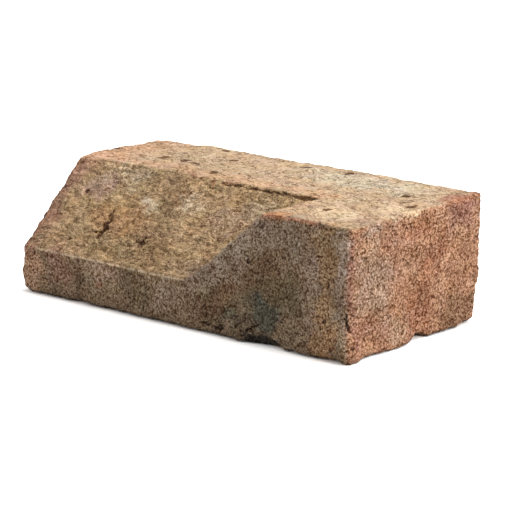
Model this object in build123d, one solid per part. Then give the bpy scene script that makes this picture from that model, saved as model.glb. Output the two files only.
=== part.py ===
from build123d import *
import os

# Plinth stop brick: one brick of soft-mud clay, moulded and fired in one piece.
# X runs along the brick from the plain end to the full-height end, Y runs from
# the moulded front to the back, and Z is up. The origin is the middle of the bed.

# Driving dimensions, in millimetres
brick_length = 215.0
brick_depth = 102.5
brick_height = 65.0
front_upstand = 24.5  # upright band of the front, below the slope
slope_run = 43.5  # how far back the slope reaches from the front
block_length = 50.5  # end that is left at full height, where the slope stops
stop_run = 50.5  # length over which the stop climbs from the slope's foot
end_lean = 2.4  # how far the full-height end leans out at its top

# Softened edges, as the mould and the kiln leave them
bed_edge_radius = 4.0  # all round the underside
upright_corner_radius = 3.0  # corners of the full-height end
plain_end_radius = 5.0  # corners, slope edge and top edge of the plain end
arris_radius = 1.2  # long top edges, and the edges of the slope and the stop
stop_valley_radius = 3.0  # inside corner between the slope and the stop

# Fold in the clay, which opens under the full-height end and dies out inwards
fold_width = 16.0
fold_height = 3.6
fold_length = 34.0
fold_from_front = 57.0

# Crease that climbs the full-height end from the fold's mouth
crease_width = 26.0
crease_depth = 2.4
crease_height = 47.0
crease_shift = 15.0  # how far it strays towards the front on its way up

# Sunken part of the front, from the stop down to the foot
hollow_width = 40.0
hollow_depth = 2.0
hollow_height = 37.0
hollow_shift = 31.0  # how far it strays towards the full-height end on its way down

# Clay broken out of the front's foot, where the sunken part reaches it
chip_length = 26.0
chip_height = 5.0
chip_depth = 8.0
chip_from_end = 49.5

# Places that follow from the dimensions
plain_end_x = -brick_length / 2
full_end_x = brick_length / 2
front_y = -brick_depth / 2
back_y = brick_depth / 2
slope_head_y = front_y + slope_run
stop_head_x = full_end_x - block_length
stop_foot_x = stop_head_x - stop_run
middle_z = brick_height / 2
fold_y = front_y + fold_from_front
chip_x = full_end_x - chip_from_end

TOUCH = 0.01  # an edge this near a plane lies in it


def plinth_length():
    """The plinth section, run through the whole length of the brick."""
    section = Plane.YZ.offset(plain_end_x) * Polyline(
        (front_y, 0),
        (back_y, 0),
        (back_y, brick_height),
        (slope_head_y, brick_height),
        (front_y, front_upstand),
        close=True,
    )
    return extrude(make_face(section), brick_length, dir=(1, 0, 0))


def stopped_end():
    """The full-height block, with the stop that climbs to it from the slope's foot."""
    elevation = Plane.XZ.offset(-back_y) * Polyline(
        (stop_foot_x, 0),
        (full_end_x, 0),
        (full_end_x + end_lean, brick_height),
        (stop_head_x, brick_height),
        (stop_foot_x, front_upstand),
        close=True,
    )
    return extrude(make_face(elevation), brick_depth, dir=(0, -1, 0))


def edge_near(solid, x, y, z):
    """The edge that passes nearest to a point."""
    return solid.edges().sort_by_distance((x, y, z))[0]


def edges_in_plane(solid, axis, place):
    """The edges that lie in the plane square to an axis at that place."""
    return solid.edges().filter_by_position(axis, place - TOUCH, place + TOUCH)


def soften_valley(brick):
    """Rounds the inside corner where the stop meets the slope."""
    halfway = (
        (stop_foot_x + stop_head_x) / 2,
        (front_y + slope_head_y) / 2,
        (front_upstand + brick_height) / 2,
    )
    return fillet(edge_near(brick, *halfway), stop_valley_radius)


def soften_ends(brick):
    """Rounds the upright corners, and the slope's and the top's edges at the plain end."""
    leaning_x = full_end_x + end_lean / 2
    full_end = [
        edge_near(brick, leaning_x, front_y, middle_z),
        edge_near(brick, leaning_x, back_y, middle_z),
    ]
    brick = fillet(full_end, upright_corner_radius)
    slope_middle_y = (front_y + slope_head_y) / 2
    slope_middle_z = (front_upstand + brick_height) / 2
    top_middle_y = (slope_head_y + back_y) / 2
    plain_end = [
        edge_near(brick, plain_end_x, front_y, front_upstand / 2),
        edge_near(brick, plain_end_x, slope_middle_y, slope_middle_z),
        edge_near(brick, plain_end_x, top_middle_y, brick_height),
        edge_near(brick, plain_end_x, back_y, middle_z),
    ]
    return fillet(plain_end, plain_end_radius)


def soften_bed(brick):
    """Rounds the edges of the underside."""
    return fillet(edges_in_plane(brick, Axis.Z, 0), bed_edge_radius)


def soften_arrises(brick):
    """Takes the sharpness off the top and off the edges of the slope and the stop."""
    past_plain_end = plain_end_x + 2 * plain_end_radius
    past_full_end = full_end_x + 2 * end_lean
    top = edges_in_plane(brick, Axis.Z, brick_height)
    top = top.filter_by_position(Axis.X, past_plain_end, past_full_end)
    front = edges_in_plane(brick, Axis.Y, front_y).filter_by(Axis.Z, reverse=True)
    slope_foot_and_stop = front.filter_by_position(
        Axis.Z, front_upstand - TOUCH, brick_height - TOUCH
    )
    return fillet(top + slope_foot_and_stop, arris_radius)


def dying_hollow(tip, mouth, outward, width, depth):
    """A skew cone to cut with: the cap inside the brick is deepest at the mouth and ends at the tip."""
    radius = ((width / 2) ** 2 + depth**2) / (2 * depth)
    tip_share = 0.02  # the cone's blunt tip, as a share of its mouth
    mouth_share = 1.1  # the cone runs on past its mouth by a tenth
    start = Vector(*tip)
    run = Vector(*mouth) - start
    outward = Vector(*outward).normalized()

    def ring(share):
        centre = start + run * share + outward * ((radius - depth) * share)
        return Plane(origin=centre, x_dir=outward, z_dir=run) * Circle(radius * share)

    return loft([ring(tip_share), ring(mouth_share)])


def clay_fold():
    """The open fold under the full-height end."""
    tip = (full_end_x - fold_length, fold_y, 0)
    mouth = (full_end_x, fold_y, 0)
    return dying_hollow(tip, mouth, (0, 0, -1), fold_width, fold_height)


def end_crease():
    """The crease up the full-height end, above the fold."""
    leaning_x = full_end_x + end_lean * crease_height / brick_height
    tip = (leaning_x, fold_y - crease_shift, crease_height)
    mouth = (full_end_x, fold_y, 0)
    outward = (brick_height, 0, -end_lean)
    return dying_hollow(tip, mouth, outward, crease_width, crease_depth)


def front_hollow():
    """The sunken part of the front, which deepens towards the chip in its foot."""
    tip = (chip_x - hollow_shift, front_y, hollow_height)
    mouth = (chip_x, front_y, 0)
    return dying_hollow(tip, mouth, (0, -1, 0), hollow_width, hollow_depth)


def foot_chip():
    """A ball that cuts the chip out of the front's foot, to its length, height and depth."""
    half = chip_length / 2
    below = (half**2 / chip_height - chip_height) / 2
    before = (half**2 / chip_depth - chip_depth) / 2
    radius = (half**2 + below**2 + before**2) ** 0.5
    return Pos(chip_x, front_y - before, -below) * Sphere(radius)


plinth_brick = plinth_length() + stopped_end()
plinth_brick = soften_valley(plinth_brick)
plinth_brick = soften_ends(plinth_brick)
plinth_brick = soften_bed(plinth_brick)
plinth_brick = soften_arrises(plinth_brick)
for hollow in (clay_fold(), end_crease(), front_hollow(), foot_chip()):
    plinth_brick = plinth_brick - hollow

os.makedirs("parts", exist_ok=True)
export_step(plinth_brick, "parts/plinth_brick.step")
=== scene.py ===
import math
from collections import namedtuple

import bpy
import numpy as np
from mathutils import Matrix, Vector, noise


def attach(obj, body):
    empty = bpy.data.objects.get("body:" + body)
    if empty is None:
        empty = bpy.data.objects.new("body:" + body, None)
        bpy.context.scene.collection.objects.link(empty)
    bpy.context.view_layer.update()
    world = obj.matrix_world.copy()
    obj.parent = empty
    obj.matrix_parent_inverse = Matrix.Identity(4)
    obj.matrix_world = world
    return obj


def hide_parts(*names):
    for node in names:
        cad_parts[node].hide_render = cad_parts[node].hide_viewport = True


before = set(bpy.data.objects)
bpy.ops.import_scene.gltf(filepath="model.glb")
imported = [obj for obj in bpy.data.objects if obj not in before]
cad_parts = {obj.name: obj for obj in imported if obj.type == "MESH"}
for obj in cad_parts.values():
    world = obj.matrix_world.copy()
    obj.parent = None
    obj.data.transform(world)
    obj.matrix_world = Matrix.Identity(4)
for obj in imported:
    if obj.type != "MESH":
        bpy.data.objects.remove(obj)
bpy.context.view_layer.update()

# Lengths are in millimetres, as in the part, and turned into metres where Blender takes them.
MM = 0.001

# The brick's sizes, as the part has them
LENGTH = 215.0
DEPTH = 102.5
HEIGHT = 65.0
UPSTAND = 24.5
SLOPE_RUN = 43.5
BLOCK = 50.5
STOP_RUN = 50.5
LEAN = 2.4

LEFT = -LENGTH / 2
RIGHT = LENGTH / 2
FRONT = -DEPTH / 2
BACK = DEPTH / 2
SLOPE_HEAD = FRONT + SLOPE_RUN
STOP_HEAD = RIGHT - BLOCK
STOP_FOOT = STOP_HEAD - STOP_RUN

SLOPE_RISE = HEIGHT - UPSTAND
SLOPE_NORMAL = np.array([0.0, -SLOPE_RISE, SLOPE_RUN]) / math.hypot(SLOPE_RISE, SLOPE_RUN)
STOP_NORMAL = np.array([-SLOPE_RISE, 0.0, STOP_RUN]) / math.hypot(SLOPE_RISE, STOP_RUN)
END_NORMAL = np.array([HEIGHT, 0.0, -LEAN]) / math.hypot(HEIGHT, LEAN)

# The brick's faces, each as its outward normal and a point on it
PLAIN_END = ((-1, 0, 0), (LEFT, 0, 0))
FULL_END = (END_NORMAL, (RIGHT, 0, 0))
BED = ((0, 0, -1), (0, 0, 0))
TOP = ((0, 0, 1), (0, 0, HEIGHT))
FACE = ((0, -1, 0), (0, FRONT, 0))
REAR = ((0, 1, 0), (0, BACK, 0))
SLOPE = (SLOPE_NORMAL, (0, FRONT, UPSTAND))
STOP = (STOP_NORMAL, (STOP_FOOT, 0, UPSTAND))

FACET_BLEND = 0.4  # how softly one face's colour and grain turn into the next one's at an edge
VOXEL = 0.95  # how far apart the mesh's points are
SEED_STEP = np.array([17.3, 5.9, 11.7])  # how far from each other two seeds read the noise
TINY = 1e-9
X, Y, Z = range(3)


# Fields over the brick


def smooth(values, start, end):
    """0 before start and 1 after end, with a smooth climb between them."""
    t = np.clip((values - start) / (end - start), 0.0, 1.0)
    return t * t * (3.0 - 2.0 * t)


def noise_at(points, size, octaves=1, seed=0):
    """Noise of about -0.5 to 0.5, with features about `size` mm across, one size or one for each axis."""
    places = points / np.broadcast_to(size, 3) + SEED_STEP * seed
    return np.array([noise.fractal(place, 1.0, 2.0, octaves) for place in places.tolist()])


def near(points, place, reach):
    """1 at a place, falling smoothly to 0 at `reach` mm from it."""
    away = np.linalg.norm((points - np.array(place)) / np.broadcast_to(reach, 3), axis=1)
    return 1.0 - smooth(away, 0.0, 1.0)


def line_distance(points, route):
    """Distance from each point to a line of straight runs."""
    best = np.full(len(points), np.inf)
    for start, end in zip(route[:-1], route[1:]):
        start = np.array(start)
        run = np.array(end) - start
        share = np.clip((points - start) @ run / (run @ run), 0.0, 1.0)
        away = np.linalg.norm(points - start - share[:, None] * run, axis=1)
        best = np.minimum(best, away)
    return best


def depth_under(points, face):
    """How far each point lies under a face's plane."""
    normal, place = face
    return (np.array(place) - points) @ np.array(normal)


def wandered(points, size, reach, seed):
    """The points, moved about by noise, so that what is drawn with them has an uneven outline."""
    moves = [noise_at(points, size, 3, seed=seed + axis) for axis in (X, Y, Z)]
    return points + 2.0 * reach * np.stack(moves, axis=1)


def trembled(points):
    """The points, moved about a little, for thin lines and flecks."""
    return wandered(points, 3.0, 0.5, 30)


# The shape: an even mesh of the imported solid, which is then worn, bent and marked


def even_mesh():
    """A copy of the CAD node with an even mesh, fine enough to carry wear and sand grain."""
    piece = bpy.data.objects.new("fired_brick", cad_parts["plinth_brick"].data.copy())
    bpy.context.scene.collection.objects.link(piece)
    remesh = piece.modifiers.new("even", "REMESH")
    remesh.mode = "VOXEL"
    remesh.voxel_size = VOXEL * MM
    remesh.use_smooth_shade = True
    shaped = piece.evaluated_get(bpy.context.evaluated_depsgraph_get())
    mesh = bpy.data.meshes.new_from_object(shaped)
    piece.modifiers.clear()
    piece.data = mesh
    return piece


def read_vectors(mesh, name):
    """The vertices' places or normals, as rows."""
    values = np.zeros(len(mesh.vertices) * 3, np.float32)
    mesh.vertices.foreach_get(name, values)
    return values.reshape(-1, 3).astype(float)


def write_points(mesh, points):
    mesh.vertices.foreach_set("co", (points * MM).astype(np.float32).ravel())
    mesh.update()


def facet_weights(points):
    """How much each point belongs to the top, to the slope or stop, and to the ends, as three shares."""
    past_slope = depth_under(points, SLOPE)
    past_stop = depth_under(points, STOP)
    slope = np.abs(past_slope) + np.maximum(past_stop, 0.0)
    stop = np.abs(past_stop) + np.maximum(past_slope, 0.0)
    groups = [
        depth_under(points, TOP),
        np.minimum(slope, stop),
        np.minimum(depth_under(points, PLAIN_END), depth_under(points, FULL_END)),
        np.min([depth_under(points, face) for face in (BED, FACE, REAR)], axis=0),
    ]
    nearness = np.exp(-np.abs(groups) / FACET_BLEND) + TINY
    return (nearness / nearness.sum(axis=0))[:3].T


def rounded(points, radius, face, other):
    """Rounds the edge where two square faces meet, without adding to it."""
    pull = np.maximum(radius - depth_under(points, face), 0.0)
    other_pull = np.maximum(radius - depth_under(points, other), 0.0)
    length = np.maximum(np.hypot(pull, other_pull), TINY)
    excess = 1.0 - np.minimum(1.0, radius / length)
    excess *= (pull > 0.0) & (other_pull > 0.0)
    return points - np.outer(pull * excess, face[0]) - np.outer(other_pull * excess, other[0])


# How round the edges are worn, before what corners and ragged clay add to it
PLAIN_END_RADIUS = 4.5
FULL_END_RADIUS = 3.4
BED_RADIUS = 4.2
BACK_RADIUS = 2.0

# How far the slope's head is worn down, how wide, and how far along from the plain end
HEAD_DROP = 0.7
HEAD_REACH = 14.0
HEAD_LENGTH = 45.0


def soften_head(points):
    """The slope's head, worn round towards the plain end."""
    corner = np.array([0.0, SLOPE_HEAD, HEIGHT])
    away = np.linalg.norm((points - corner)[:, 1:], axis=1)
    towards_end = 1.0 - smooth(points[:, X], LEFT, LEFT + HEAD_LENGTH)
    drop = HEAD_DROP * towards_end * (1.0 - smooth(away, 0.0, HEAD_REACH))
    inward = -(SLOPE_NORMAL + np.array([0.0, 0.0, 1.0])) / 2.0
    return points + np.outer(drop, inward)


def wear_plain_end(points):
    """The plain end's edges, most worn at its top back corner and at the front's foot."""
    back_top = near(points, (LEFT, BACK, HEIGHT), 34.0)
    foot = near(points, (LEFT, FRONT, 0), 26.0)
    ragged = noise_at(points, 9.0, 2, seed=1)
    radius = PLAIN_END_RADIUS + 1.2 * back_top + 1.4 * foot + 0.9 * ragged
    for other in (BED, TOP, SLOPE, FACE, REAR):
        points = rounded(points, radius, PLAIN_END, other)
    return points


def wear_full_end(points):
    """The full-height end's edges, apart from the top one: ragged, and rounder at the back's foot."""
    back_foot = near(points, (RIGHT, BACK, 0), 30.0)
    ragged = noise_at(points, 6.0, 3, seed=2)
    radius = FULL_END_RADIUS + 3.0 * back_foot + 1.4 * ragged
    for other in (BED, FACE, REAR):
        points = rounded(points, radius, FULL_END, other)
    return rounded(points, BACK_RADIUS + 3.0 * back_foot, BED, REAR)


def wear_long_edges(points):
    """The bed's long edges, ragged where the clay left its mould, and the top's back edge."""
    ragged = noise_at(points, (7.0, 30.0, 30.0), 3, seed=3)
    radius = BED_RADIUS + 2.4 * ragged
    for side in (FACE, REAR):
        points = rounded(points, radius, BED, side)
    far_corner = near(points, (LEFT, BACK, HEIGHT), 34.0)
    return rounded(points, BACK_RADIUS + 2.5 * far_corner + 1.4 * ragged, TOP, REAR)


# Smaller chips out of the front's foot: each one's middle, its reach along each axis and its height
CHIPS = [
    ((99, FRONT, 0), (9.0, 7.0, 6.0), 1.8),
    ((RIGHT, FRONT, 0), (9.0, 9.0, 7.0), 2.0),
    ((-66, FRONT, 0), (11.0, 6.0, 5.0), 1.2),
]


def chip_foot(points):
    """Breaks clay away from the front's foot, so that a dark hollow shows under it."""
    moved = points.copy()
    ragged = 1.0 + 0.7 * noise_at(points, 4.0, 2, seed=14)
    for place, reach, rise in CHIPS:
        share = near(points, place, reach) * ragged
        moved[:, Y] += 0.5 * rise * share
        moved[:, Z] += rise * share
    return moved


# Slow bends: the axis that each one moves the clay along, how far, its middle and its reach along each axis
BENDS = [
    (X, 0.8, (RIGHT, BACK, 47), (30.0, 60.0, 22.0)),
    (X, -1.8, (LEFT, -11, 58), (16.0, 16.0, 14.0)),
    (X, -0.8, (LEFT, -30, 43), (16.0, 18.0, 18.0)),
    (X, -2.2, (LEFT, FRONT, 10), (16.0, 20.0, 9.0)),
    (Y, -3.0, (55, FRONT + 8, 0), (18.0, 8.0, 7.0)),
    (Z, 0.8, (-15, BACK, HEIGHT), (100.0, 40.0, 30.0)),
    (Z, 0.9, (LEFT + 6, 5, HEIGHT), (22.0, 40.0, 14.0)),
]


def warp(points):
    """Slow bends of the whole brick, from the mould and the kiln."""
    z = points[:, Z]
    moved = points.copy()
    for axis, most, place, reach in BENDS:
        moved[:, axis] += most * near(points, place, reach)
    moved[:, Y] += 0.9 * noise_at(points, 60.0, 2, seed=4) * smooth(z, 0.0, 12.0)
    moved[:, Z] += (0.1 + 0.5 * noise_at(points, 55.0, 2, seed=5)) * smooth(z, 0.0, HEIGHT)
    return moved


def hollow_stop(points):
    """The stop sags a little between its foot and its head."""
    share = np.clip((points[:, X] - STOP_FOOT) / STOP_RUN, 0.0, 1.0)
    held = 1.0 - smooth(np.abs(depth_under(points, STOP)), 0.0, 10.0)
    sag = 2.4 * share * (1.0 - share) * held
    return points - STOP_NORMAL * sag[:, None]


# Broad folds: where each runs, how wide it is and how deep, or how high where that is negative
FOLDS = [
    ([(RIGHT, 1, 14), (RIGHT, -5, 25), (RIGHT, -7, 40)], 10.0, 0.9),
    ([(-15, -17, 56), (-13, -28, 46), (-14, -39, 36)], 9.0, -0.8),
    ([(30, FRONT, 34), (42, FRONT, 20)], 15.0, 0.8),
    ([(80, FRONT, 56), (84, FRONT, 10)], 16.0, -0.7),
    ([(36, FRONT, 8), (42, FRONT, 5)], 9.0, -2.2),
    ([(RIGHT, -48, 9), (RIGHT, -46, 2)], 10.0, -1.6),
    ([(RIGHT, -20, 4), (RIGHT, -10, 3)], 12.0, -1.2),
    ([(-64, -27, 47), (-70, -36, 38)], 7.0, -0.5),
    ([(-56, -31, 43), (-52, -38, 37)], 7.0, -0.4),
]

# Cracks and creases: where each runs, how wide it is and how deep
CRACKS = [
    ([(-61, -29, 45), (-61.5, -31.5, 43), (-60.4, -34, 40.4)], 1.2, 1.8),
    ([(-60.4, -34, 40.4), (-60.8, -38, 36.8), (-61.7, -41, 34.2)], 1.9, 2.3),
    ([(-60.5, -36, 38.5), (-55.5, -38, 36.6)], 0.9, 0.8),
    ([(-61.5, -38.5, 36.2), (-66, -39.5, 35.3)], 1.1, 1.0),
    ([(-36, -39.2, 35.6), (-31, -40.4, 34.5), (-27.5, -38.6, 36.2)], 1.1, 1.2),
    ([(-33, -41.5, 33.5), (-31, -38, 36.7)], 1.1, 1.2),
    ([(-14.6, FRONT, 21), (-19, FRONT, 12.3), (-22.5, FRONT, 3.5)], 0.9, 0.6),
    ([(6.8, FRONT, 24.6), (1.4, FRONT, 20.7), (-4, FRONT, 17.3)], 0.9, 0.5),
    ([(54.5, FRONT + 0.6, 14.5), (52, FRONT + 1.4, 9.4), (45.5, FRONT + 1.3, 6)], 1.1, 1.0),
    ([(18.5, FRONT, 5.8), (24, FRONT, 4.6)], 1.4, 1.2),
    ([(26, FRONT, 4.4), (31.5, FRONT, 4.8)], 1.8, 1.6),
    ([(RIGHT - 1.9, 3.8, 3.6), (RIGHT - 1.6, 7.7, 7.5), (RIGHT - 0.2, 11.6, 10.6)], 1.2, 0.45),
    ([(RIGHT, -50.5, 22), (RIGHT, -49.5, 18.5), (RIGHT, -49, 15.5)], 1.3, 2.0),
    ([(102, FRONT, 25), (RIGHT, -50.5, 23.4), (RIGHT, -46, 23.8), (RIGHT, -43, 22.4)], 1.0, 1.2),
    ([(RIGHT, -49.2, 9.8), (RIGHT, -47.2, 7.4)], 1.2, 1.4),
]

# Small hollows: each one's middle, its reach and its depth
PITS = [
    ((-87, -23, 51), 1.9, 1.2),
    ((-78, -44, 31.2), 1.5, 0.9),
    ((-85.5, -14.5, 58.6), (1.6, 2.6, 2.6), 0.5),
    ((-98.5, FRONT, 23), (1.5, 3.0, 2.6), 1.8),
    ((47.4, FRONT, 40.5), 2.4, 0.9),
    ((85.4, FRONT, 46), 3.0, 0.7),
    ((96, FRONT, 37), 2.4, 0.8),
    ((67.2, FRONT, 37.4), 2.0, 0.6),
    ((94.4, FRONT, 18.6), 2.4, 0.8),
]

LIP_DROP = 1.2  # how far under the top the groove in the slope's head runs


def folds_depth(points):
    """How deep the broad folds go in at each point."""
    depth = np.zeros(len(points))
    for route, width, most in FOLDS:
        depth += most * (1.0 - smooth(line_distance(points, route), 0.0, width))
    return depth


def marks_depth(points):
    """How deep the cracks and pits go in at each point."""
    depth = np.zeros(len(points))
    jagged = wandered(points, 2.6, 0.7, 6)
    uneven = 1.0 + 0.6 * noise_at(points, 3.0, 2, seed=13)
    for route, width, most in CRACKS:
        depth += most * uneven * (1.0 - smooth(line_distance(jagged, route), 0.2, width))
    for place, reach, most in PITS:
        depth += most * uneven * np.clip(1.6 * near(jagged, place, reach), 0.0, 1.0)
    return depth


def lip_depth(points):
    """The groove under the slope's head, where the top's clay hangs over it, deeper towards the stop."""
    x, y, z = points.T
    ragged = noise_at(points, (4.0, 2.5, 2.5), 3, seed=15)
    to_stop = smooth(x, -10.0, STOP_HEAD)
    middle = HEIGHT - LIP_DROP + 0.4 * ragged
    half_width = 0.7 + 0.7 * to_stop + 0.7 * ragged
    groove = 1.0 - smooth(np.abs(z - middle), 0.0, half_width)
    along = smooth(x, -30.0, 10.0) * (1.0 - smooth(x, STOP_HEAD - 2.0, STOP_HEAD + 3.0))
    under_head = smooth(y, SLOPE_HEAD - 8.0, SLOPE_HEAD - 3.0) * (y < SLOPE_HEAD + 0.2)
    return (0.55 + 0.3 * to_stop + ragged) * groove * along * under_head


def grain_height(points, facets):
    """The skin's own relief: soft waves, drag streaks, creases and sand."""
    top, slope = facets.T[:2]
    waves = 0.7 * noise_at(points, 16.0, 3, seed=7)
    streaks = 0.5 * noise_at(points, (9.0, 3.5, 1.9), 2, seed=8)
    creases = 0.9 * noise_at(points, (4.6, 2.6, 2.6), 3, seed=9)
    sand = 0.6 * noise_at(points, 2.4, 2, seed=10)
    return waves + streaks * top + creases * slope + sand * (1.0 - top - slope)


def shape_brick(mesh):
    """Wears, bends and marks the mesh, and returns what the colours are worked out from."""
    points = read_vectors(mesh, "co") / MM
    facets = facet_weights(points)
    arris_highlight = arris_highlight_share(points)
    wear = (soften_head, wear_plain_end, wear_full_end, wear_long_edges)
    for step in (*wear, chip_foot, warp, hollow_stop):
        points = step(points)
    write_points(mesh, points)
    # The depth of the cracks, the pits and the groove also sets how dark their painted shade is
    marks = marks_depth(points) + lip_depth(points)
    height = grain_height(points, facets) - folds_depth(points) - marks
    height *= smooth(points[:, Z], 0.0, 1.5)
    dressed = points + read_vectors(mesh, "normal") * height[:, None]
    dressed[:, Z] = np.maximum(dressed[:, Z], 0.0)
    write_points(mesh, dressed)
    return points, facets, mark_masks(points, marks, arris_highlight)


# The colours, as 0 to 255 in plain light
CREAM = (254, 228, 190)
PALE = (216, 198, 172)
PEACH = (222, 173, 138)
SAND = (209, 178, 145)
BUFF = (204, 169, 127)
TAN = (214, 177, 138)
OCHRE = (206, 160, 116)
DUSTY = (206, 170, 146)
ROSE = (186, 139, 116)
CLAY = (188, 136, 104)
RUST = (178, 119, 87)
ORANGE = (216, 144, 92)
BRICK_RED = (168, 116, 98)
MAUVE = (174, 149, 128)
GREY = (198, 171, 150)
BROWN = (162, 133, 105)
CHESTNUT = (138, 99, 72)
OLIVE = (122, 102, 74)
UMBER = (114, 90, 68)
SLATE = (86, 87, 76)
# Near-black painted shade, for the hollows of the chip and of the fold's mouth and for the foot's edges
PAINTED_SHADE = (32, 27, 24)

# Where a colour shows: its middle, how far it reaches along each axis, the colour and its share
TINTS = [
    # the plain end and the slope
    ((LEFT, -28, 42), (17, 60, 60), ROSE, 0.85),
    ((LEFT, 20, 65), (40, 70, 14), PEACH, 0.7),
    ((-79, -20, 54), (15, 12, 12), DUSTY, 0.9),
    ((-62, -13, 60), (18, 8, 8), PALE, 0.4),
    ((-58, -34, 41), (24, 13, 13), OCHRE, 0.9),
    ((-44, -31, 43), (14, 10, 10), OCHRE, 0.7),
    ((-82, -46, 29), (24, 7, 7), TAN, 0.7),
    ((-42.5, -23.4, 50.4), (8, 6, 6), CREAM, 0.95),
    ((-17, -20, 53.5), (11, 10, 10), CREAM, 0.9),
    ((-72, -11, 62), (8, 4, 4), CREAM, 0.6),
    ((14, -24, 49), (24, 12, 12), DUSTY, 0.5),
    ((0, -36, 39), (17, 14, 14), TAN, 0.7),
    ((26, -18, 55), (14, 8, 8), PALE, 0.35),
    ((3, -47, 28.5), (12, 5, 5), TAN, 0.6),
    ((-42, -46, 29), (26, 7, 7), OLIVE, 0.4),
    # painted shadow under the slope's head, where the top's clay hangs over it
    ((36, -10.5, 62), (26, 3.5, 3.5), OLIVE, 0.4),
    # the band under the slope
    ((-102, FRONT, 14), (16, 9, 24), PEACH, 0.9),
    ((-80, FRONT, 18), (14, 9, 14), ROSE, 0.6),
    ((-69, FRONT, 15), (7, 9, 11), CHESTNUT, 0.4),
    ((-50, FRONT, 19), (13, 9, 8), DUSTY, 0.8),
    ((-50, FRONT, 13), (5, 6, 3), RUST, 0.6),
    ((-65, FRONT, 8), (6, 6, 5), UMBER, 0.8),
    ((-26, FRONT, 14), (11, 9, 16), OLIVE, 0.5),
    ((-5, FRONT, 16), (13, 9, 12), GREY, 0.4),
    ((10, FRONT, 15), (6, 6, 6), CHESTNUT, 0.5),
    # the front of the stop and of the full-height end
    ((62, FRONT, 28), (30, 12, 17), OLIVE, 0.95),
    ((28, FRONT, 15), (16, 9, 14), OLIVE, 0.95),
    ((56, FRONT, 15), (17, 9, 13), SLATE, 0.85),
    ((40, FRONT, 10), (16, 9, 8), SLATE, 0.5),
    ((76, FRONT, 34), (11, 9, 13), OLIVE, 0.3),
    ((86, FRONT, 44), (16, 9, 12), CHESTNUT, 0.45),
    ((78, FRONT, 57), (16, 9, 7), DUSTY, 0.3),
    ((91, FRONT, 15), (10, 9, 10), TAN, 0.4),
    ((96, FRONT, 8), (14, 9, 9), CLAY, 0.6),
    ((STOP_HEAD, FRONT, 63), (5, 5, 4), CHESTNUT, 0.8),
    ((STOP_HEAD + 6, FRONT + 4, HEIGHT + 1), (11, 8, 5), ORANGE, 0.9),
    # the full-height end
    ((RIGHT, -33, 37), (12, 24, 26), MAUVE, 0.5),
    ((RIGHT, -35, 61), (12, 12, 6), MAUVE, 0.6),
    ((RIGHT, 2, 56), (12, 17, 10), RUST, 0.6),
    ((RIGHT, -18, 52), (12, 10, 8), BRICK_RED, 0.35),
    ((RIGHT, 36, 60), (12, 24, 11), BRICK_RED, 0.85),
    ((RIGHT, -40, 18), (12, 13, 8), BRICK_RED, 0.4),
    ((RIGHT, -16, 12), (12, 16, 9), MAUVE, 0.4),
    ((RIGHT, 22, 30), (12, 6, 20), PEACH, 0.3),
    ((RIGHT, 34, 9), (12, 24, 15), CHESTNUT, 0.8),
    ((RIGHT, 9, 8), (12, 8, 7), RUST, 0.5),
    ((RIGHT, BACK, 40), (12, 5, 44), ROSE, 0.5),
    # the top
    ((52, 31, HEIGHT), (60, 20, 9), PALE, 0.85),
    ((70, -30, HEIGHT), (26, 20, 9), PEACH, 0.25),
    ((84, -28, HEIGHT), (20, 16, 9), CREAM, 0.45),
    ((100, -14, HEIGHT), (14, 40, 9), PEACH, 0.2),
    ((100, -6, HEIGHT), (14, 18, 9), CREAM, 0.35),
    # painted shade in the chip and in the fold's mouth, where these hollows fall dark
    ((55, FRONT + 4, 1), (18, 10, 7), PAINTED_SHADE, 1.0),
    ((RIGHT - 4, 4, 1), (9, 6, 3.2), PAINTED_SHADE, 1.0),
]

# Bands of colour: the route, the width, the colour and its share
BANDS = [
    ([(-31, -10, 63), (-29, -24.5, 49), (-24, -37.5, 37), (-21, -46, 29)], 11.0, CHESTNUT, 0.4),
    ([(LEFT, SLOPE_HEAD + 6, HEIGHT), (STOP_HEAD, SLOPE_HEAD + 6, HEIGHT)], 7.0, PEACH, 0.6),
    # a thin reddish-brown painted shadow line along the slope's head
    ([(-30, SLOPE_HEAD, HEIGHT), (20, SLOPE_HEAD, HEIGHT)], 1.6, RUST, 0.7),
    ([(16, FRONT, 27), (35, FRONT, 40), (56, FRONT, 56), (72, FRONT, 58)], 15.0, MAUVE, 0.8),
    ([(20, FRONT, 10), (34, FRONT, 22), (46, FRONT, 33), (62, FRONT, 42)], 7.0, CHESTNUT, 0.6),
    ([(86, FRONT, 46), (86, FRONT, 12)], 9.0, GREY, 0.35),
    ([(95.5, FRONT, 60), (95, FRONT, 30), (94.5, FRONT, 6)], 8.0, OCHRE, 0.65),
    ([(96, FRONT, 60), (96, FRONT, 42)], 7.0, OLIVE, 0.3),
    ([(104, FRONT, 62), (104, FRONT, 22)], 5.0, GREY, 0.9),
    ([(RIGHT, 18, 46), (RIGHT, 11, 35), (RIGHT, 5, 24), (RIGHT, 1, 14), (RIGHT, 5, 6)], 9.0, RUST, 0.9),
]

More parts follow.
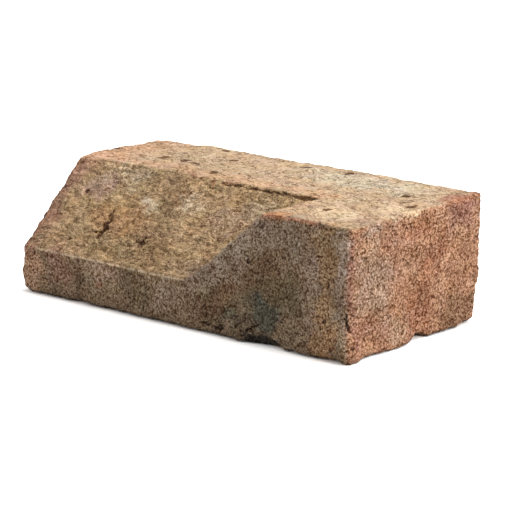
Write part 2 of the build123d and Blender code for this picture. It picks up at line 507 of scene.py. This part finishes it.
# Lines of colour along worn edges, and one painted highlight, as the bands are given
EDGE_LINES = [
    ([(STOP_HEAD, FRONT + 1, HEIGHT + 0.5), (66, FRONT + 1, HEIGHT + 0.5)], 4.2, ORANGE, 0.5),
    ([(60, FRONT, HEIGHT - 1), (90, FRONT, HEIGHT)], 1.9, RUST, 0.8),
    ([(90, FRONT, HEIGHT), (RIGHT, FRONT, HEIGHT)], 1.6, UMBER, 0.5),
    ([(RIGHT, -48.8, 62), (RIGHT, -49.4, 30), (RIGHT, -46, 20), (RIGHT, -46, 8)], 2.6, BRICK_RED, 0.7),
    # a painted highlight along the full-height end's top edge
    ([(RIGHT + LEAN, -20, 64), (RIGHT + LEAN, 0, 64)], 2.0, CREAM, 0.3),
    ([(RIGHT + LEAN, 24, HEIGHT), (RIGHT + LEAN, BACK, HEIGHT)], 3.2, RUST, 0.6),
]

# Painted highlights, thin pale lines along the rounded arrises where they catch the light: the route, the
# reach to each side and how strong it is
ARRIS_HIGHLIGHTS = [
    ([(LEFT + 12, FRONT, UPSTAND), (STOP_FOOT, FRONT, UPSTAND)], 2.4, 1.0),
    ([(STOP_FOOT, FRONT, UPSTAND), (STOP_HEAD, FRONT, HEIGHT)], 2.2, 0.9),
]

# Dark flecks of burnt grit in the top: each one's X and Y, and its reach along each of them
FLECKS = [
    (-101.4, 13.5, 3.2, 2.6),
    (-67, 14, 4.0, 4.0),
    (-53, 15.6, 4.5, 4.5),
    (-42.5, 11, 4.0, 3.0),
    (-22, 2, 3.0, 3.0),
    (-34, 31, 3.0, 3.5),
    (-53, 46.5, 3.0, 3.5),
    (9.7, 38, 4.2, 4.5),
    (34, 42, 3.4, 4.0),
    (86.7, 19, 3.6, 4.0),
    (102.6, 3.6, 3.6, 4.2),
    (76.4, -26.6, 3.4, 3.6),
]

FLECK_DEPTH = 4.0  # how far under the top a fleck still colours the clay
DARK_DEPTH = 0.9  # a crack this deep is as dark as cracks get: painted shade that grows with the depth of cracks, pits and the groove
FOOT_SHADE = 0.85  # how much of the painted shade's colour the foot's edges take, as painted contact shade
GAMMA = 2.2


def linear(colour):
    """An 0 to 255 colour as the linear values that Blender takes."""
    return (np.array(colour) / 255.0) ** GAMMA


def tinted(colour, weight, tint):
    """The colour, moved towards a tint by this share at each point."""
    return colour + np.clip(weight, 0.0, 1.0)[:, None] * (linear(tint) - colour)


def banded(colour, points, bands):
    """The colour, with bands or edge lines drawn over it."""
    for route, width, tint, share in bands:
        away = line_distance(points, route)
        colour = tinted(colour, share * (1.0 - smooth(away, 0.3 * width, width)), tint)
    return colour


def arris_highlight_share(points):
    """How near each point of the unworn brick is to the line of a painted arris highlight."""
    arris_highlight = np.zeros(len(points))
    for route, width, share in ARRIS_HIGHLIGHTS:
        away = line_distance(points, route)
        arris_highlight = np.maximum(arris_highlight, share * (1.0 - smooth(away, 0.0, width)))
    return arris_highlight


def mark_masks(points, marks, arris_highlight):
    """How far each point is into a crack or groove, whose depth sets its painted shade, into a fleck of
    burnt grit, and onto a painted arris highlight.
    """
    ragged = trembled(points)
    flecks = np.zeros(len(points))
    for x, y, length, width in FLECKS:
        flecks = np.maximum(flecks, near(ragged, (x, y, HEIGHT), (length, width, FLECK_DEPTH)))
    return np.stack([marks / DARK_DEPTH, flecks, arris_highlight], axis=1)


def foot_shade_share(points):
    """How near each point is to the foot's edges, all round the bed, for the painted contact shade."""
    sides = (FACE, REAR, PLAIN_END, FULL_END)
    inwards = np.min([depth_under(points, side) for side in sides], axis=0)
    return (1.0 - smooth(points[:, Z], 0.3, 2.4)) * (1.0 - smooth(inwards, 2.0, 6.0))


def skin_colour(points, facets):
    """The clay's colour at each point, before its grain, with painted shade on the foot's edges and in the
    hollows, and painted shadows and a painted highlight among the tints, bands and edge lines.
    """
    top, slope, end = facets.T
    left_over = 1.0 - top - slope - end
    weights = [(top, SAND), (slope, BUFF), (end, CLAY), (left_over, BROWN)]
    colour = sum(weight[:, None] * linear(tint) for weight, tint in weights)
    uneven = wandered(wandered(points, 9.0, 3.0, 20), 3.0, 1.0, 40)
    for place, reach, tint, share in TINTS:
        colour = tinted(colour, share * np.clip(2.0 * near(uneven, place, reach), 0.0, 1.0), tint)
    colour = banded(colour, uneven, BANDS)
    colour = banded(colour, trembled(points), EDGE_LINES)
    # Painted shade along the foot's edges, where the brick meets the floor
    return tinted(colour, FOOT_SHADE * foot_shade_share(points), PAINTED_SHADE)


def paint(mesh, name, values):
    """Stores three values at each vertex, for the material to read."""
    attribute = mesh.color_attributes.new(name, "FLOAT_COLOR", "POINT")
    rows = np.ones((len(mesh.vertices), 4), np.float32)
    rows[:, :3] = np.clip(values, 0.0, 1.0)
    attribute.data.foreach_set("color", rows.ravel())


# The material

# How large the features of its patterns are along X, Y and Z, or along all three
DRAG_SIZE = (2.6, 1.6, 1.6)
FLAKE_SIZE = (2.0, 1.3, 1.3)
SAND_SIZE = (0.95, 1.2, 1.15)
DUST_SIZE = 0.75
CLOUD_SIZE = 12.0
HUE_SIZE = 11.0
PIT_SIZE = (3.0, 2.4, 2.2)
DASH_SIZE = (3.2, 2.4, 1.6)
WRINKLE_SIZE = (4.0, 2.8, 2.8)
CREASE_SIZE = (2.4, 1.7, 1.7)
TEAR_SIZE = 0.9
WRINKLE_GAP_SIZE = 7.0
HIGHLIGHT_GAP_SIZE = 3.0

BUMP_HEIGHT = 0.5
ROUGHNESS = 0.95
SPECULAR = 0.15
DUST_AND_HIGHLIGHT_COLOUR = (0.8, 0.67, 0.52)  # what bright grains and the painted arris highlights add, in linear light

# Where the top is, where the slope or stop is, and where either is, as sockets of 0 to 1
Faces = namedtuple("Faces", "top slope calm")


def node(tree, kind, inputs=(), **settings):
    """A shader node, with its settings, and its inputs by name or number: a value or a socket."""
    made = tree.nodes.new("ShaderNode" + kind)
    for name, value in settings.items():
        setattr(made, name, value)
    for name, value in dict(inputs).items():
        if isinstance(value, bpy.types.NodeSocket):
            tree.links.new(value, made.inputs[name])
        else:
            made.inputs[name].default_value = value
    return made


def math_node(tree, operation, first, second=0.0, third=0.0):
    made = node(tree, "Math", {0: first, 1: second, 2: third}, operation=operation)
    return made.outputs[0]


def multiplied(tree, *values):
    """The product of these values."""
    product = values[0]
    for value in values[1:]:
        product = math_node(tree, "MULTIPLY", product, value)
    return product


def spread(tree, value, low, high, to_low, to_high):
    """Maps low..high to to_low..to_high, held at both ends."""
    inputs = {"Value": value, "From Min": low, "From Max": high, "To Min": to_low, "To Max": to_high}
    return node(tree, "MapRange", inputs).outputs[0]


def mixed(tree, share, first, second):
    """First where the share is 0, and second where it is 1."""
    return node(tree, "Mix", {"Factor": share, "A": first, "B": second}).outputs[0]


def by_face(tree, faces, on_top, on_slope, elsewhere):
    """One value on the top, one on the slope and stop, and one on all other faces."""
    return mixed(tree, faces.top, mixed(tree, faces.slope, elsewhere, on_slope), on_top)


def scaled_add(tree, vector, factor, other=(0.0, 0.0, 0.0)):
    """The vector times a factor for each part, plus the other one."""
    made = node(tree, "VectorMath", {0: vector, 1: factor, 2: other}, operation="MULTIPLY_ADD")
    return made.outputs[0]


def stretched(tree, place, size):
    """The place, counted in lengths of `size` millimetres along X, Y and Z."""
    scale = tuple(1.0 / (length * MM) for length in np.broadcast_to(size, 3))
    return node(tree, "Mapping", {"Vector": place, "Scale": scale}).outputs[0]


def fractal(tree, place, size, detail, roughness):
    """Soft noise with features of this size, around 0.5."""
    inputs = {
        "Vector": stretched(tree, place, size),
        "Scale": 1.0,
        "Detail": detail,
        "Roughness": roughness,
    }
    return node(tree, "TexNoise", inputs).outputs["Fac"]


def grains(tree, place, size):
    """Packed grains, each with a brightness of its own, and dark crevices between them."""
    grid = stretched(tree, place, size)
    drift = node(tree, "TexNoise", {"Vector": grid, "Scale": 1.1, "Detail": 3.0}).outputs["Color"]
    drifted = scaled_add(tree, drift, (1.7, 1.7, 1.7), grid)
    cells = node(tree, "TexVoronoi", {"Vector": drifted, "Scale": 1.0})
    pick = node(tree, "SeparateColor", {"Color": cells.outputs["Color"]}).outputs[0]
    dome = spread(tree, cells.outputs["Distance"], 0.4, 0.85, 1.0, 0.2)
    bright = spread(tree, pick, 0.0, 0.7, 0.55, 1.0)
    return multiplied(tree, dome, bright)


def wrinkles(tree, place, size, where):
    """Thin winding lines, 1 on a line and 0 off it, which come and go."""
    away = math_node(tree, "SUBTRACT", fractal(tree, place, size, 3.0, 0.6), 0.5)
    line = spread(tree, math_node(tree, "ABSOLUTE", away), 0.008, 0.03, 1.0, 0.0)
    gate = spread(tree, fractal(tree, place, WRINKLE_GAP_SIZE, 2.0, 0.5), 0.41, 0.5, 0.0, 1.0)
    return multiplied(tree, line, gate, where)


def hue_shift(tree, place):
    """Factors on the colour: patches that lean to orange or to grey, and a little to pink or to olive."""
    inputs = {"Vector": stretched(tree, place, HUE_SIZE), "Scale": 1.0, "Detail": 2.0, "Roughness": 0.5}
    parts = node(tree, "SeparateColor", {"Color": node(tree, "TexNoise", inputs).outputs["Color"]})
    warmed = scaled_add(tree, parts.outputs[0], (0.16, 0.0, -0.3), (0.88, 1.03, 1.07))
    return scaled_add(tree, parts.outputs[1], (0.08, -0.06, 0.14), warmed)


def by_channel(tree, shade, strength):
    """The shade for red, green and blue, where dark places stay red and bright ones turn pale."""
    powers = [math_node(tree, "MULTIPLY", strength, share) for share in (0.85, 1.05, 1.25)]
    channels = [math_node(tree, "POWER", shade, power) for power in powers]
    return node(tree, "CombineXYZ", dict(enumerate(channels))).outputs[0]


def torn(tree, place, mask, low, high):
    """A mask with its edge made sharp and ragged: 0 where the mask is under low, 1 over high."""
    rough = math_node(tree, "MULTIPLY_ADD", fractal(tree, place, TEAR_SIZE, 2.0, 0.6), 0.5, mask)
    return spread(tree, rough, low + 0.25, high + 0.25, 0.0, 1.0)


def painted(tree, name):
    """The three values that are painted on the mesh under this name."""
    colour = node(tree, "Attribute", attribute_name=name).outputs["Color"]
    return node(tree, "SeparateColor", {"Color": colour}).outputs[:3]


def read_faces(tree):
    """The painted faces; the top and the slope together are the calmer clay."""
    top, slope, _ = painted(tree, "facet")
    return Faces(top, slope, math_node(tree, "ADD", top, slope))


def skin_grain(tree, place, faces):
    """The grain, dark to bright: drag marks on the top, flakes on the slope and sand elsewhere."""
    drags = grains(tree, place, DRAG_SIZE)
    flakes = spread(tree, fractal(tree, place, FLAKE_SIZE, 4.0, 0.7), 0.34, 0.58, 0.1, 0.95)
    sand = grains(tree, place, SAND_SIZE)
    return by_face(tree, faces, drags, flakes, sand)


def dark_marks(tree, place, faces):
    """Each dark mark's mask, the share of the light that it leaves, and its depth, or 0 for one that lies
    level. The pits, wrinkle lines, creases and cracks are painted shade in their hollows; the flecks are
    burnt grit.
    """
    pits = spread(tree, fractal(tree, place, PIT_SIZE, 4.0, 0.62), 0.29, 0.37, 1.0, 0.0)
    dashes = spread(tree, fractal(tree, place, DASH_SIZE, 2.0, 0.5), 0.3, 0.345, 1.0, 0.0)
    lines = wrinkles(tree, place, WRINKLE_SIZE, faces.calm)
    creases = wrinkles(tree, place, CREASE_SIZE, faces.slope)
    cracks, flecks, _ = painted(tree, "marks")
    # Painted shade: the pits, wrinkle lines, creases and cracks below are darkened as if in shadow
    return [
        (pits, mixed(tree, faces.slope, 0.25, 0.45), 0.9),
        (dashes, mixed(tree, faces.slope, 0.45, 0.7), 0.5),
        (lines, 0.35, 0.8),
        (creases, 0.55, 0.0),
        (torn(tree, place, cracks, 0.32, 0.65), 0.2, 0.8),
        (torn(tree, place, flecks, 0.08, 0.22), 0.18, 0.0),
    ]


def clay_shade(tree, place, faces, skin, dust, marks):
    """How bright red, green and blue are: the grain, dust, clouds and dark marks, one over the other."""
    top, _, calm = faces
    low = by_face(tree, faces, 0.78, 0.72, 0.32)
    high = by_face(tree, faces, 1.1, 1.18, 1.3)
    clouds = fractal(tree, place, CLOUD_SIZE, 3.0, 0.55)
    shade = multiplied(
        tree,
        spread(tree, skin, 0.15, 0.8, low, high),
        spread(tree, dust, 0.3, 0.6, mixed(tree, top, 0.5, 0.78), mixed(tree, top, 1.22, 1.12)),
        spread(tree, clouds, 0.3, 0.7, mixed(tree, calm, 0.8, 0.92), mixed(tree, calm, 1.2, 1.09)),
        *(spread(tree, mask, 0.0, 1.0, 1.0, left) for mask, left, _ in marks),
    )
    return by_channel(tree, shade, mixed(tree, calm, 1.3, 1.0))


def pale_dust_and_highlight(tree, place, faces, skin, dust):
    """What bright grains, specks of dust and the painted highlights along the arrises add to the colour."""
    edges = painted(tree, "marks")[2]
    gaps = spread(tree, fractal(tree, place, HIGHLIGHT_GAP_SIZE, 2.0, 0.5), 0.42, 0.52, 0.25, 1.0)
    # The painted highlight along the arrises, broken by gaps
    arris_highlight = multiplied(tree, torn(tree, place, edges, 0.74, 0.9), gaps)
    most = by_face(tree, faces, 0.04, 0.07, 0.13)
    shine = spread(tree, skin, 0.5, 0.95, 0.0, most)
    specks = spread(tree, dust, 0.6, 0.68, 0.0, multiplied(tree, most, 1.4))
    shine = math_node(tree, "MULTIPLY_ADD", arris_highlight, 0.6, math_node(tree, "ADD", shine, specks))
    return scaled_add(tree, shine, DUST_AND_HIGHLIGHT_COLOUR)


def fine_relief(tree, skin, dust, marks):
    """The normal, bumped by the grain and by the marks that have a depth."""
    height = math_node(tree, "MULTIPLY_ADD", dust, 0.5, skin)
    for mask, _, depth in marks:
        if depth > 0.0:
            height = math_node(tree, "MULTIPLY_ADD", mask, -depth, height)
    bump = node(tree, "Bump", {"Height": height, "Strength": 1.0, "Distance": BUMP_HEIGHT * MM})
    return bump.outputs["Normal"]


def fired_clay():
    """Sand-faced clay: the painted tones, broken up by grain and burnt grit, with painted shade in
    wrinkles, cracks and pores and painted highlights along the arrises.
    """
    material = bpy.data.materials.new("fired_clay")
    material.use_nodes = True
    tree = material.node_tree
    place = node(tree, "TexCoord").outputs["Object"]
    faces = read_faces(tree)
    skin = skin_grain(tree, place, faces)
    dust = fractal(tree, place, DUST_SIZE, 2.0, 0.6)
    marks = dark_marks(tree, place, faces)
    tone = node(tree, "Attribute", attribute_name="tone").outputs["Color"]
    tinge = scaled_add(tree, tone, hue_shift(tree, place))
    shade = clay_shade(tree, place, faces, skin, dust, marks)
    pale = pale_dust_and_highlight(tree, place, faces, skin, dust)
    shader = tree.nodes["Principled BSDF"]
    tree.links.new(scaled_add(tree, tinge, shade, pale), shader.inputs["Base Color"])
    tree.links.new(fine_relief(tree, skin, dust, marks), shader.inputs["Normal"])
    shader.inputs["Roughness"].default_value = ROUGHNESS
    shader.inputs["Specular IOR Level"].default_value = SPECULAR
    return material


# The studio

# The photograph's camera: its place in millimetres and its own axes, with the lens for this sensor
CAMERA_PLACE = (757.863, -857.749, 306.827)
CAMERA_RIGHT = (0.753537, 0.657385, -0.005248)
CAMERA_UP = (-0.152657, 0.182739, 0.971238)
LENS = 166.12
SENSOR = 36.0

# The rest of the studio's lengths are in metres, and its powers in watts
FARTHEST = 50.0
FLOOR_HALF = 8.0
LAMP_TARGET = (0.0, 0.0, 0.03)

# How bright the floor and the world look, and how bright they are as lights
FLOOR_SEEN = 2.5
FLOOR_LIGHT = 0.5
WORLD_SEEN = 1.0
WORLD_LIGHT = 0.42

# Each lamp's name, its place, the side of its square and its power
LAMPS = [
    ("overhead", (0.25, 0.35, 1.3), 0.9, 14.0),
    ("side", (1.2, 0.1, 0.5), 0.7, 6.0),
]


def place_camera():
    """The camera, where the photograph was taken from."""
    right = Vector(CAMERA_RIGHT)
    up = Vector(CAMERA_UP)
    camera = bpy.data.objects.new("camera", bpy.data.cameras.new("camera"))
    bpy.context.scene.collection.objects.link(camera)
    turn = Matrix((right, up, right.cross(up))).transposed().to_4x4()
    camera.matrix_world = Matrix.Translation(Vector(CAMERA_PLACE) * MM) @ turn
    camera.data.lens = LENS
    camera.data.sensor_width = SENSOR
    camera.data.sensor_fit = "HORIZONTAL"
    camera.data.clip_end = FARTHEST
    bpy.context.scene.camera = camera


def seen_white(tree, seen, unseen):
    """A strength that is `seen` for the camera and for reflections, and `unseen` for light."""
    path = node(tree, "LightPath")
    shown = math_node(tree, "MAXIMUM", path.outputs["Is Camera Ray"], path.outputs["Is Glossy Ray"])
    shown = math_node(tree, "MAXIMUM", shown, path.outputs["Is Transmission Ray"])
    return spread(tree, shown, 0.0, 1.0, unseen, seen)


def light_world():
    """A white world, dimmer as a light than it looks."""
    world = bpy.data.worlds.new("studio")
    bpy.context.scene.world = world
    world.use_nodes = True
    tree = world.node_tree
    background = tree.nodes["Background"]
    tree.links.new(seen_white(tree, WORLD_SEEN, WORLD_LIGHT), background.inputs["Strength"])
    background.inputs["Color"].default_value = (1.0, 1.0, 1.0, 1.0)


def floor_white():
    """The floor's material, brighter to the camera than as a light."""
    material = bpy.data.materials.new("floor")
    material.use_nodes = True
    tree = material.node_tree
    tree.nodes.remove(tree.nodes["Principled BSDF"])
    white = seen_white(tree, FLOOR_SEEN, FLOOR_LIGHT)
    colour = node(tree, "CombineColor", {"Red": white, "Green": white, "Blue": white})
    shader = node(tree, "BsdfDiffuse", {"Color": colour.outputs[0]})
    output = tree.nodes["Material Output"]
    tree.links.new(shader.outputs[0], output.inputs["Surface"])
    return material


def lay_floor():
    """A white floor, which reads as white to the camera outside the brick's shadow."""
    half = FLOOR_HALF
    corners = [(-half, -half, 0), (half, -half, 0), (half, half, 0), (-half, half, 0)]
    mesh = bpy.data.meshes.new("floor")
    mesh.from_pydata(corners, [], [(0, 1, 2, 3)])
    mesh.materials.append(floor_white())
    floor = bpy.data.objects.new("floor", mesh)
    bpy.context.scene.collection.objects.link(floor)


def hang_lamp(name, place, size, power):
    """A soft square lamp, facing the brick."""
    light = bpy.data.lights.new(name, "AREA")
    light.size = size
    light.energy = power
    lamp = bpy.data.objects.new(name, light)
    bpy.context.scene.collection.objects.link(lamp)
    towards = Vector(LAMP_TARGET) - Vector(place)
    lamp.location = place
    lamp.rotation_euler = towards.to_track_quat("-Z", "Y").to_euler()


brick = even_mesh()
brick_points, brick_facets, brick_masks = shape_brick(brick.data)
paint(brick.data, "tone", skin_colour(brick_points, brick_facets))
paint(brick.data, "facet", brick_facets)
paint(brick.data, "marks", brick_masks)
brick.data.materials.clear()
brick.data.materials.append(fired_clay())

place_camera()
light_world()
lay_floor()
for lamp_values in LAMPS:
    hang_lamp(*lamp_values)
bpy.context.scene.view_settings.view_transform = "Standard"

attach(brick, "root")
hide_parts("plinth_brick")
